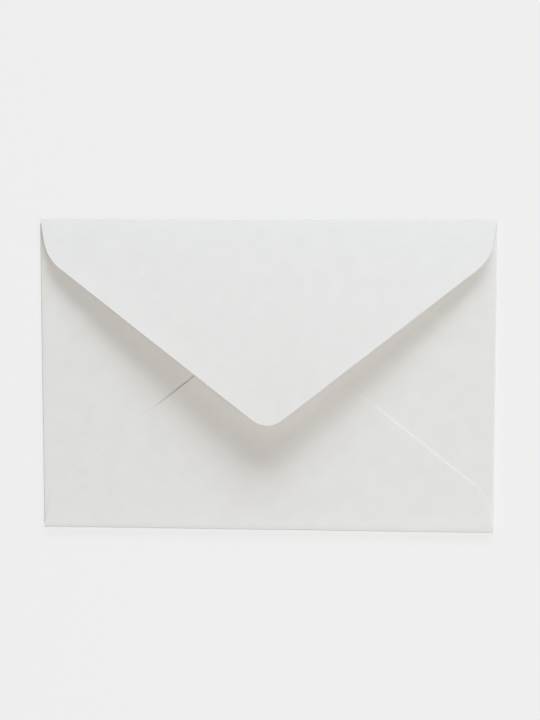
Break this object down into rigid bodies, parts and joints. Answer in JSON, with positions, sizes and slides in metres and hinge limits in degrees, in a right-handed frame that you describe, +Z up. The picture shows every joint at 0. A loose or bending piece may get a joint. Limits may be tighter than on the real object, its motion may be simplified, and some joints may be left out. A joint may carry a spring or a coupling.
{
  "type": "paper envelope",
  "caption": "Folded paper envelope with a pointed top flap standing slightly open over a gummed pocket, lying on its front.",
  "frame": {"origin": "on the table, below the middle of the front panel", "axes": "+X along the width, +Y towards the fold of the top flap, +Z up out of the back"},
  "size_m": [0.16, 0.11, 0.0092],
  "materials": {
    "paper": "matt, uncoated wove"
  },
  "bodies": {
    "root": {"envelope_sheet": "paper"}
  },
  "joints": []
}
